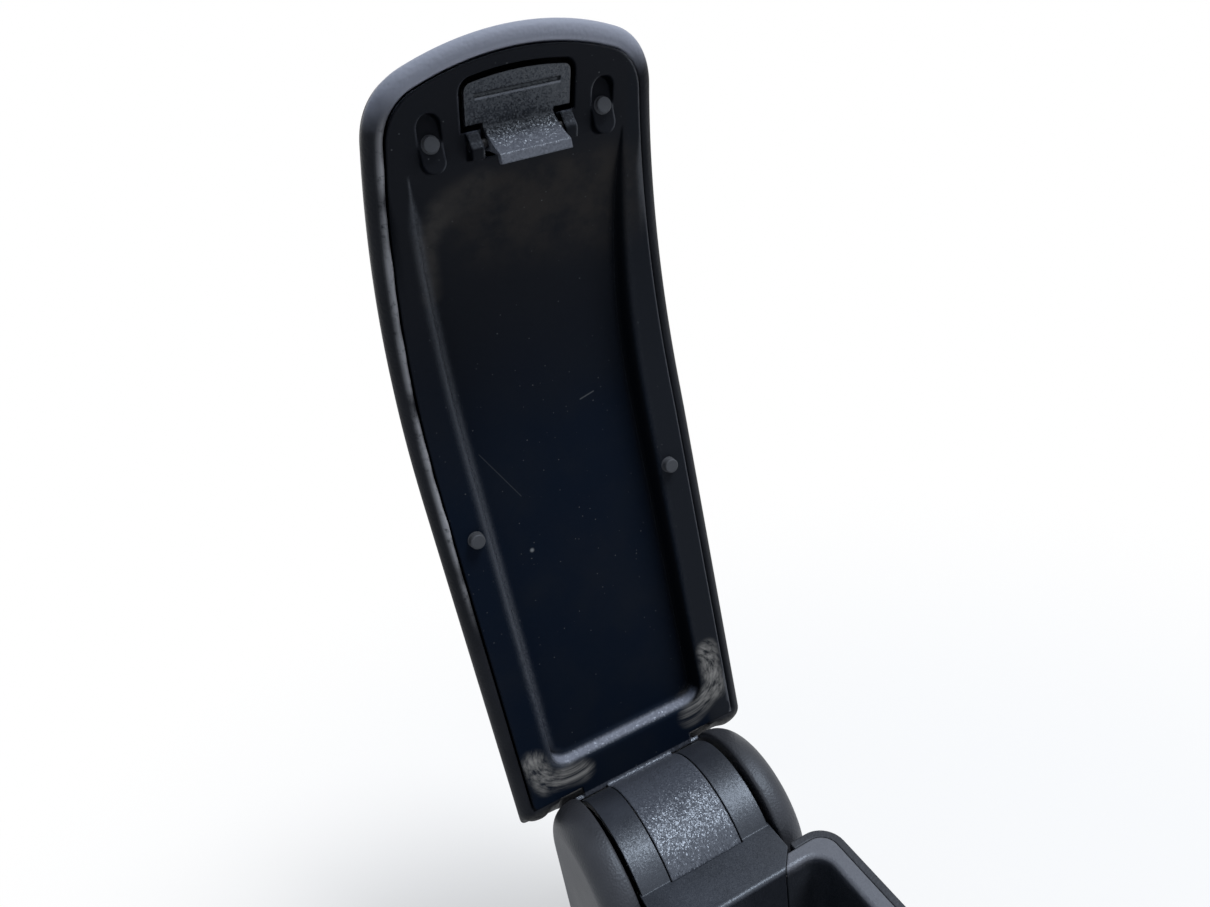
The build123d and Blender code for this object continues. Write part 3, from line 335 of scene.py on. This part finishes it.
class Finish:
    """A material with a Principled shader and short ways to add nodes to it."""

    def __init__(self, name, colour, roughness, specular):
        self.material = bpy.data.materials.new(name)
        self.material.use_nodes = True
        self.tree = self.material.node_tree
        self.shader = self.tree.nodes["Principled BSDF"]
        self.set_shader(self.shader, colour, roughness, specular)
        self.place = self.node("ShaderNodeTexCoord").outputs["Object"]

    def set_shader(self, shader, colour, roughness, specular):
        """The plain numbers of a Principled shader."""
        shader.inputs["Base Color"].default_value = (*colour, 1)
        shader.inputs["Roughness"].default_value = roughness
        shader.inputs["Specular IOR Level"].default_value = specular
        shader.inputs["Specular Tint"].default_value = (0.76, 0.86, 1.0, 1)

    def node(self, kind, **inputs):
        """A node with its inputs set, or linked where a socket is given."""
        made = self.tree.nodes.new(kind)
        for key, value in inputs.items():
            self.feed(made.inputs[key.replace("_", " ")], value)
        return made

    def feed(self, socket, value):
        """Links a socket, or sets the number or colour on it."""
        if isinstance(value, bpy.types.NodeSocket):
            self.tree.links.new(value, socket)
        else:
            socket.default_value = value

    def math(self, operation, first, second=0.0, clamp=False):
        """One arithmetic step."""
        made = self.tree.nodes.new("ShaderNodeMath")
        made.operation = operation
        made.use_clamp = clamp
        self.feed(made.inputs[0], first)
        self.feed(made.inputs[1], second)
        return made.outputs[0]

    def vector(self, operation, first, second=(0, 0, 0), result="Vector"):
        """One step of vector arithmetic."""
        made = self.tree.nodes.new("ShaderNodeVectorMath")
        made.operation = operation
        self.feed(made.inputs[0], first)
        self.feed(made.inputs[1], second)
        return made.outputs[result]

    def noise(self, size, detail=2.0, rough=0.5):
        """Noise with features of a size in metres."""
        made = self.node("ShaderNodeTexNoise", Vector=self.place, Scale=1 / size, Detail=detail, Roughness=rough)
        return made.outputs["Fac"]

    def cells(self, size, feature="F1"):
        """Distance from the middle of the nearest Voronoi cell of a size in metres."""
        made = self.node("ShaderNodeTexVoronoi", Vector=self.place, Scale=1 / size)
        made.feature = feature
        return made.outputs["Distance"]

    def ramp(self, value, low, high):
        """A smooth step from 0 at low to 1 at high."""
        made = self.tree.nodes.new("ShaderNodeMapRange")
        made.interpolation_type = "SMOOTHSTEP"
        self.feed(made.inputs["Value"], value)
        self.feed(made.inputs["From Min"], low)
        self.feed(made.inputs["From Max"], high)
        return made.outputs["Result"]

    def along(self, way):
        """How far a place lies from the hinge point along a direction, in metres."""
        return self.vector("DOT_PRODUCT", self.vector("SUBTRACT", self.place, tuple(hinge)), tuple(way), "Value")

    def near(self, place, reach):
        """1 at a place, falling to 0 at a reach in metres."""
        return self.ramp(self.vector("DISTANCE", self.place, tuple(place), "Value"), reach, reach * 0.15)

    def near_line(self, start, stop, reach, place=None):
        """1 on the line between two places, falling to 0 at a reach in metres."""
        place = self.place if place is None else place
        length = float(np.linalg.norm(np.subtract(stop, start)))
        way = np.subtract(stop, start) / length
        run = self.vector("DOT_PRODUCT", self.vector("SUBTRACT", place, tuple(start)), tuple(way), "Value")
        run = self.math("MINIMUM", self.math("MAXIMUM", run, 0.0), length)
        scaled = self.tree.nodes.new("ShaderNodeVectorMath")
        scaled.operation = "SCALE"
        scaled.inputs[0].default_value = tuple(way)
        self.feed(scaled.inputs["Scale"], run)
        nearest = self.vector("ADD", scaled.outputs["Vector"], tuple(start))
        return self.ramp(self.vector("DISTANCE", place, nearest, "Value"), reach, reach * 0.2)

    def near_plan(self, start, stop, reach):
        """1 on the line between two lid places (s, x) in millimetres seen from above, falling to 0 at a reach."""
        start, stop = (start[0] * MM, start[1] * MM, 0), (stop[0] * MM, stop[1] * MM, 0)
        return self.near_line(start, stop, reach, self.lid_plan())

    def lid_plan(self):
        """Lid places (s, x, 0) in metres."""
        return self.node("ShaderNodeCombineXYZ", X=self.along(tip_way), Y=self.along(across_way)).outputs[0]

    def swirl(self, s, x):
        """Streaks on arcs round a lid place: noise that changes fast with the distance and slowly along s."""
        away = self.vector("DISTANCE", self.lid_plan(), (s * MM, x * MM, 0), "Value")
        strands = self.node("ShaderNodeCombineXYZ", X=self.math("MULTIPLY", away, 420.0),
                            Y=self.math("MULTIPLY", self.along(tip_way), 170.0))
        made = self.node("ShaderNodeTexNoise", Vector=strands.outputs[0], Scale=1.0, Detail=4.0, Roughness=0.65)
        return made.outputs["Fac"]

    def most(self, first, *others):
        """The largest of some shares."""
        for other in others:
            first = self.math("MAXIMUM", first, other)
        return first

    def colour_mix(self, share, first, second):
        """A mix of two colours."""
        made = self.tree.nodes.new("ShaderNodeMix")
        made.data_type = "RGBA"
        self.feed(made.inputs["Factor"], share)
        self.feed(made.inputs["A"], first if isinstance(first, bpy.types.NodeSocket) else (*first, 1))
        self.feed(made.inputs["B"], second if isinstance(second, bpy.types.NodeSocket) else (*second, 1))
        return made.outputs["Result"]

    def bump(self, height, depth, strength=1.0, below=None):
        """A bump of a depth in metres."""
        made = self.node("ShaderNodeBump", Height=height, Strength=strength, Distance=depth)
        if below is not None:
            self.feed(made.inputs["Normal"], below)
        return made.outputs["Normal"]

    def attribute(self, name):
        """The share that the mesh keeps for each point under a name."""
        made = self.tree.nodes.new("ShaderNodeAttribute")
        made.attribute_name = name
        return made.outputs["Fac"]

    def edges(self, radius):
        """The normal with edges rounded off."""
        made = self.tree.nodes.new("ShaderNodeBevel")
        made.samples = 6
        self.feed(made.inputs["Radius"], radius)
        return made.outputs["Normal"]

    def sparkle(self, normal, size, tilt):
        """A normal with small facets, each tilted its own way."""
        facets = self.node("ShaderNodeTexVoronoi", Vector=self.place, Scale=1 / size).outputs["Color"]
        turned = self.vector("MULTIPLY", self.vector("SUBTRACT", facets, (0.5, 0.5, 0.5)), (tilt, tilt, tilt))
        return self.vector("NORMALIZE", self.vector("ADD", normal, turned))


def moulded_plastic(name, colour, roughness, specular, grain, depth, edge, tilt=0.0):
    """Moulded plastic with a pebbled grain, faint flow marks and soft edges, and glinting facets where tilted."""
    finish = Finish(name, colour, roughness, specular)
    flow = finish.noise(0.02, 3.0, 0.55)
    tone = finish.ramp(flow, 0.3, 0.75)
    finish.base = finish.colour_mix(tone, [c * 0.8 for c in colour], [c * 1.2 for c in colour])
    finish.feed(finish.shader.inputs["Base Color"], finish.base)
    rough = finish.math("ADD", finish.math("MULTIPLY", flow, 0.16), roughness - 0.08)
    finish.feed(finish.shader.inputs["Roughness"], rough)
    normal = finish.edges(edge)
    if tilt:
        normal = finish.sparkle(normal, grain, tilt)
    finish.feed(finish.shader.inputs["Normal"], finish.bump(finish.cells(grain, "SMOOTH_F1"), depth, 1.0, normal))
    return finish


def panel_with_dust_and_painted_light():
    """The inner panel: deep blue-black faces with dust, marks, painted light and painted shade, and grained walls,
    edges and drum.

    Two shaders are mixed by a share: 1 on the drum, by its distance from the hinge axis, and on walls that face the
    lid's tip, and less on walls that face right. The grained shader is a lighter, glossier copy of the same plastic:
    on the drum that is partly its coarser grain and partly painted light, and on the walls it is painted light."""
    recess_half, recess_rear = 0.0383, 0.046
    # The second colour is painted light for the walls that face the tip.
    grain_colour, painted_light_grain = (0.06, 0.066, 0.082), (0.17, 0.183, 0.224)
    finish = Finish("panel_plastic", (0.006, 0.010, 0.018), 0.55, 0.04)
    grained = finish.tree.nodes.new("ShaderNodeBsdfPrincipled")
    finish.set_shader(grained, grain_colour, 0.33, 0.65)
    far_along = finish.along(tip_way)
    far_across = finish.along(across_way)
    beside_edge = finish.math("ABSOLUTE", finish.math("SUBTRACT", finish.math("ABSOLUTE", far_across), recess_half))
    behind_edge = finish.math("ABSOLUTE", finish.math("SUBTRACT", far_along, recess_rear))
    by_side = finish.math("MULTIPLY", finish.ramp(beside_edge, 0.010, 0.007), 0.0036)
    by_rear = finish.math("MULTIPLY", finish.ramp(behind_edge, 0.010, 0.007), 0.0016)
    by_recess = finish.math("MULTIPLY", finish.most(by_side, by_rear), finish.ramp(far_along, 0.300, 0.285))
    by_recess = finish.math("MULTIPLY", by_recess, finish.ramp(far_along, 0.037, 0.039))
    soft_edges = finish.edges(finish.math("ADD", by_recess, 0.0012))
    finish.feed(grained.inputs["Normal"], finish.sparkle(soft_edges, 0.0005, 0.5))

    # Painted light: the faces are lighter towards the nose, where the light falls.
    tone = finish.ramp(far_along, 0.18, 0.285)
    base = finish.colour_mix(tone, (0.0036, 0.0070, 0.0150), (0.0135, 0.0145, 0.0180))
    # Painted light: the flange right of the recess is lighter, a lit strip beside the shaded right wall.
    base = finish.colour_mix(finish.ramp(far_across, 0.0385, 0.0415), base, (0.0125, 0.0145, 0.019))
    cloud = finish.ramp(finish.noise(0.03, 4.0, 0.6), 0.35, 0.75)
    base = finish.colour_mix(finish.math("MULTIPLY", cloud, 0.35), base, (0.011, 0.013, 0.017))

    left_dust = finish.most(
        finish.near_plan((56, -47), (43, -43), 0.008),
        finish.near_plan((43, -43), (40, -26), 0.0075))
    right_dust = finish.most(
        finish.near_plan((70, 45), (48, 46), 0.0075),
        finish.near_plan((50, 45), (41, 31), 0.0085))
    left_dust = finish.math("MULTIPLY", left_dust, finish.ramp(finish.swirl(56, -30), 0.30, 0.72))
    right_dust = finish.math("MULTIPLY", right_dust, finish.ramp(finish.swirl(60, 30), 0.30, 0.70))
    dust = finish.math("MULTIPLY", finish.most(left_dust, right_dust), 0.9)
    base = finish.colour_mix(dust, base, (0.30, 0.29, 0.275))
    haze = finish.ramp(finish.noise(0.010, 4.0, 0.6), 0.2, 0.7)
    # Painted light: a light band widens the lit left ridge of the recess at the nose end, round its corner.
    wear_and_painted_light = finish.most(
        finish.near_plan((262, -36.5), (281, -35), 0.006),
        finish.near_plan((281, -35), (289, -28), 0.007),
        finish.near_plan((289, -28), (294, -14), 0.008))
    wear_and_painted_light = finish.math("MULTIPLY", finish.math("MULTIPLY", wear_and_painted_light, haze), 0.85)
    base = finish.colour_mix(wear_and_painted_light, base, (0.058, 0.054, 0.051))
    hazy = finish.near_plan((288, -8), (282, 30), 0.030)
    hazy = finish.math("MULTIPLY", hazy, finish.ramp(far_along, 0.302, 0.294))
    base = finish.colour_mix(finish.math("MULTIPLY", hazy, haze), base, (0.030, 0.0275, 0.0265))

    chosen = finish.ramp(finish.noise(0.006, 2.0), 0.44, 0.60)
    specks = finish.math("MULTIPLY", finish.ramp(finish.cells(0.0034), 0.10, 0.05), chosen)
    spot = finish.near(lid_points(147.8, -20.8, recess_level), 0.0013)
    short_scratch = finish.near_line(lid_points(203, 14.4, 33.3), lid_points(204.4, 20.6, 33.3), 0.00045)
    long_scratch = finish.near_line(
        lid_points(195, -31.7, recess_level), lid_points(172.3, -19.5, recess_level), 0.0003)
    marks = finish.most(
        finish.math("MULTIPLY", specks, 0.3), finish.math("MULTIPLY", spot, 0.8),
        finish.math("MULTIPLY", short_scratch, 0.3), finish.math("MULTIPLY", long_scratch, 0.12))
    base = finish.colour_mix(marks, base, (0.22, 0.23, 0.24))
    finish.feed(finish.shader.inputs["Normal"], finish.bump(finish.noise(0.0006, 2.0), 0.00003, 1.0, soft_edges))

    turned = finish.tree.nodes.new("ShaderNodeVectorTransform")
    turned.vector_type = "NORMAL"
    turned.convert_from = "WORLD"
    turned.convert_to = "OBJECT"
    finish.feed(turned.inputs[0], soft_edges)
    facing_tip = finish.vector("DOT_PRODUCT", turned.outputs[0], tuple(tip_way), "Value")
    facing_right = finish.vector("DOT_PRODUCT", turned.outputs[0], tuple(across_way), "Value")
    # Painted shade: faces that turn left, away from the light, are made darker.
    painted_shade_left_facing = finish.ramp(facing_right, -0.08, -0.5)
    base = finish.colour_mix(painted_shade_left_facing, base, (0.0012, 0.0019, 0.0036))
    finish.feed(finish.shader.inputs["Base Color"], base)
    depth = finish.along(pad_way)
    band = finish.math("MULTIPLY", finish.ramp(depth, 0.0256, 0.0280), finish.ramp(depth, 0.0328, 0.0300))
    band = finish.most(band, finish.ramp(far_along, 0.060, 0.066))
    # Painted light: walls that face the tip, and walls that face right towards the light, take the lighter, glossier
    # grained copy of the plastic.
    walls = finish.math("MULTIPLY", finish.ramp(facing_tip, 0.3, 0.75), band)
    side_walls = finish.math("MULTIPLY", finish.ramp(facing_right, 0.05, 0.6), 0.8)
    from_axis = finish.vector("MULTIPLY", finish.vector("SUBTRACT", finish.place, tuple(hinge)), (0, 1, 1))
    drum = finish.ramp(finish.vector("DISTANCE", from_axis, (0, 0, 0), "Value"), 0.0384, 0.0378)
    # The tip-facing walls off the drum get a still lighter colour, painted light.
    painted_light_share = finish.math("SUBTRACT", walls, drum, True)
    finish.feed(grained.inputs["Base Color"], finish.colour_mix(painted_light_share, grain_colour, painted_light_grain))
    mix = finish.tree.nodes.new("ShaderNodeMixShader")
    finish.feed(mix.inputs[0], finish.most(walls, side_walls, drum))
    finish.feed(mix.inputs[1], finish.shader.outputs[0])
    finish.feed(mix.inputs[2], grained.outputs[0])
    finish.feed(finish.tree.nodes["Material Output"].inputs["Surface"], mix.outputs[0])
    return finish


def padded_vinyl():
    """Vinyl skin: closed leather grain, soft creases, a painted highlight on the nose, dust at the rear and a worn
    light hem.
    """
    colour = (0.014, 0.0148, 0.018)
    finish = Finish("skin_vinyl", colour, 0.5, 0.07)
    tone = finish.ramp(finish.noise(0.03, 3.0), 0.3, 0.7)
    base = finish.colour_mix(tone, [c * 0.85 for c in colour], [c * 1.2 for c in colour])
    # Painted highlight: the nose roll, patchy with noise, gets a light bluish grey where the light falls on it from
    # above.
    patchy = finish.math("ADD", finish.attribute("nose_painted_highlight"), finish.math("MULTIPLY", finish.noise(0.008, 3.0), 0.3))
    base = finish.colour_mix(finish.ramp(patchy, 0.25, 1.1), base, (0.30, 0.315, 0.375))
    at_rear = finish.ramp(finish.along(tip_way), 0.032, 0.026)
    dust = finish.math("MULTIPLY", at_rear, finish.ramp(finish.along(pad_way), 0.034, 0.029))
    dust = finish.math("MULTIPLY", dust, finish.ramp(finish.noise(0.004, 4.0, 0.65), 0.3, 0.7))
    base = finish.colour_mix(finish.math("MULTIPLY", dust, 0.8), base, (0.15, 0.145, 0.135))
    wear_and_painted_light = finish.ramp(finish.noise(0.003, 4.0, 0.7), 0.2, 0.5)
    worn = finish.math("MULTIPLY", finish.math("MULTIPLY", finish.attribute("border"), wear_and_painted_light), 0.9)
    finish.feed(finish.shader.inputs["Base Color"], finish.colour_mix(worn, base, (0.40, 0.40, 0.42)))
    creases = finish.bump(finish.noise(0.005, 4.0, 0.6), 0.0002, 0.6)
    pebbles = finish.cells(0.0011, "SMOOTH_F1")
    finish.feed(finish.shader.inputs["Normal"], finish.bump(pebbles, 0.00012, 1.0, creases))
    return finish


def latch_plastic():
    """The paddle's plastic, with painted shade in its slit, a painted highlight along the slit's lower edge and a
    painted highlight on the hook.
    """
    finish = moulded_plastic("latch_plastic", (0.021, 0.023, 0.028), 0.34, 0.6, 0.00045, 0.00003, 0.0008, 0.5)
    # Painted highlight: the hook is lighter, where its curved top catches the light.
    wear_and_painted_light = finish.ramp(finish.along(tip_way), 0.3105, 0.3065)
    base = finish.colour_mix(wear_and_painted_light, finish.base, (0.095, 0.102, 0.124))
    # Painted shade in the slit, and a painted highlight along the slit's lower edge.
    slit = finish.near_plan((321.4, -14.0), (321.4, 14.0), 0.0009)
    lip = finish.near_plan((320.4, -14.2), (320.4, 14.2), 0.0006)
    base = finish.colour_mix(finish.math("MULTIPLY", lip, 0.7), base, (0.19, 0.2, 0.23))
    finish.feed(finish.shader.inputs["Base Color"], finish.colour_mix(slit, base, (0.004, 0.0045, 0.006)))
    return finish


def liner_plastic():
    """The bin's plastic, rubbed grey and scuffed along the rim."""
    finish = moulded_plastic("liner_plastic", (0.028, 0.031, 0.038), 0.42, 0.55, 0.00045, 0.00003, 0.001, 0.2)
    height = finish.vector("DOT_PRODUCT", finish.place, (0, 0, 1), "Value")
    rim = float(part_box("bin_liner")[1][2])
    scuffed = finish.math("ADD", height, finish.math("MULTIPLY", finish.noise(0.006, 4.0, 0.6), 0.004))
    wear_and_painted_light = finish.math("MULTIPLY", finish.ramp(scuffed, rim - 0.003, rim + 0.001), 0.9)
    base = finish.colour_mix(wear_and_painted_light, finish.base, (0.12, 0.124, 0.142))
    finish.feed(finish.shader.inputs["Base Color"], base)
    return finish


def metal(name, colour, roughness):
    """Plated or blackened steel with patches in its sheen and a fine rolled grain."""
    finish = Finish(name, colour, roughness, 0.5)
    finish.shader.inputs["Metallic"].default_value = 1.0
    patches = finish.math("MULTIPLY", finish.noise(0.004, 4.0, 0.6), 0.3)
    finish.feed(finish.shader.inputs["Roughness"], finish.math("ADD", patches, roughness - 0.15))
    rolled = finish.bump(finish.noise(0.0007, 2.0), 0.00002, 0.6, finish.edges(0.0002))
    finish.feed(finish.shader.inputs["Normal"], rolled)
    return finish


def dress(finish, *names):
    """Gives CAD nodes or pieces a finish."""
    for name in names:
        piece = nodes.get(name) or bpy.data.objects[name]
        piece.data.materials.clear()
        piece.data.materials.append(finish.material)


dress(padded_vinyl(), "padded_skin")
dress(panel_with_dust_and_painted_light(), "lid_inner_panel")
dress(moulded_plastic("cover_plastic", (0.026, 0.029, 0.037), 0.40, 0.55, 0.00045, 0.00002, 0.0006, 0.14),
      "hinge_cover")
dress(latch_plastic(), "latch_paddle")
dress(moulded_plastic("shell_plastic", (0.028, 0.029, 0.034), 0.48, 0.42, 0.0009, 0.00014, 0.001), "outer_shell")
dress(liner_plastic(), "bin_liner")
dress(moulded_plastic("carrier_plastic", (0.012, 0.012, 0.013), 0.6, 0.1, 0.0008, 0.00005, 0.0005), "lid_carrier")
dress(moulded_plastic("bush_plastic", (0.62, 0.61, 0.57), 0.35, 0.4, 0.0008, 0.00001, 0.0003),
      "hinge_bush_left", "hinge_bush_right")
dress(moulded_plastic("bumper_rubber", (0.05, 0.052, 0.058), 0.6, 0.4, 0.0007, 0.00004, 0.0003),
      "side_bumper_left", "side_bumper_right", "front_bumper_left", "front_bumper_right")
dress(metal("black_steel", (0.03, 0.031, 0.034), 0.5), "latch_pin", "latch_spring")
dress(metal("plated_steel", (0.56, 0.56, 0.55), 0.4), "hinge_bracket", "hinge_pin", "pin_clips", "latch_striker",
      "striker_screws", "cover_screws", "bracket_screws", "liner_screws")

# Floor, light and camera


def white_to_rays(tree, shade, white, output, share=None):
    """White for camera, glossy and transmission rays, by a share if there is one, and the plain shade otherwise."""
    path = tree.nodes.new("ShaderNodeLightPath")
    seen = path.outputs["Is Camera Ray"]
    for ray in ("Is Glossy Ray", "Is Transmission Ray"):
        either = tree.nodes.new("ShaderNodeMath")
        either.operation = "MAXIMUM"
        tree.links.new(seen, either.inputs[0])
        tree.links.new(path.outputs[ray], either.inputs[1])
        seen = either.outputs[0]
    if share is not None:
        part = tree.nodes.new("ShaderNodeMath")
        part.operation = "MULTIPLY"
        tree.links.new(seen, part.inputs[0])
        tree.links.new(share, part.inputs[1])
        seen = part.outputs[0]
    white.inputs["Color"].default_value = (1, 1, 1, 1)
    white.inputs["Strength"].default_value = 1.0
    mix = tree.nodes.new("ShaderNodeMixShader")
    tree.links.new(seen, mix.inputs[0])
    tree.links.new(shade, mix.inputs[1])
    tree.links.new(white.outputs[0], mix.inputs[2])
    tree.links.new(mix.outputs[0], output.inputs["Surface"])


turns = np.linspace(0, 2 * pi, 96, endpoint=False)
rings = np.array([0.0, 0.7, 1.4])[:, None]
floor = round_grid("floor", np.stack([rings * np.cos(turns), rings * np.sin(turns), 0 * rings * turns], axis=-1))
pale = Finish("pale_floor", (0.86, 0.84, 0.82), 0.9, 0.1)
from_middle = pale.ramp(pale.vector("DISTANCE", pale.place, (0, 0, 0), "Value"), 0.25, 0.6)
from_middle = pale.math("ADD", pale.math("MULTIPLY", from_middle, 0.45), 0.55)
white_to_rays(pale.tree, pale.shader.outputs[0], pale.tree.nodes.new("ShaderNodeEmission"),
              pale.tree.nodes["Material Output"], from_middle)
floor.data.materials.append(pale.material)

world = bpy.data.worlds.new("studio")
bpy.context.scene.world = world
world.use_nodes = True
sky = world.node_tree
sky_place = sky.nodes.new("ShaderNodeTexCoord")
sky_split = sky.nodes.new("ShaderNodeSeparateXYZ")
sky.links.new(sky_place.outputs["Generated"], sky_split.inputs[0])
sky_ramp = sky.nodes.new("ShaderNodeValToRGB")
sky_ramp.color_ramp.elements[0].position = 0.0
sky_ramp.color_ramp.elements[0].color = (0.12, 0.12, 0.13, 1)
sky_ramp.color_ramp.elements[1].position = 0.9
sky_ramp.color_ramp.elements[1].color = (0.66, 0.8, 1.0, 1)
sky.links.new(sky_split.outputs["Z"], sky_ramp.inputs[0])
sky_shade = sky.nodes["Background"]
sky.links.new(sky_ramp.outputs[0], sky_shade.inputs["Color"])
sky_shade.inputs["Strength"].default_value = 0.45
white_to_rays(sky, sky_shade.outputs[0], sky.nodes.new("ShaderNodeBackground"), sky.nodes["World Output"])

sun_data = bpy.data.lights.new("sun", "SUN")
sun_data.energy = 3.0
sun_data.angle = radians(22)
sun_data.color = (0.94, 0.97, 1.0)
sun = bpy.data.objects.new("sun", sun_data)
sun.rotation_mode = "QUATERNION"
sun.rotation_quaternion = Vector((0.42, -0.24, 0.87)).to_track_quat("Z", "Y")
bpy.context.scene.collection.objects.link(sun)

photo_width = 1210
focal_pixels = 924.8
camera_data = bpy.data.cameras.new("camera")
camera_data.sensor_fit = "HORIZONTAL"
camera_data.sensor_width = 36.0
camera_data.lens = focal_pixels / photo_width * camera_data.sensor_width
camera = bpy.data.objects.new("camera", camera_data)
camera.location = (-0.11136, -0.1081, 0.45951)
camera.rotation_euler = Euler([radians(a) for a in (61.146, 8.122, -27.338)], "XYZ")
bpy.context.scene.collection.objects.link(camera)
bpy.context.scene.camera = camera
bpy.context.scene.view_settings.view_transform = "Standard"
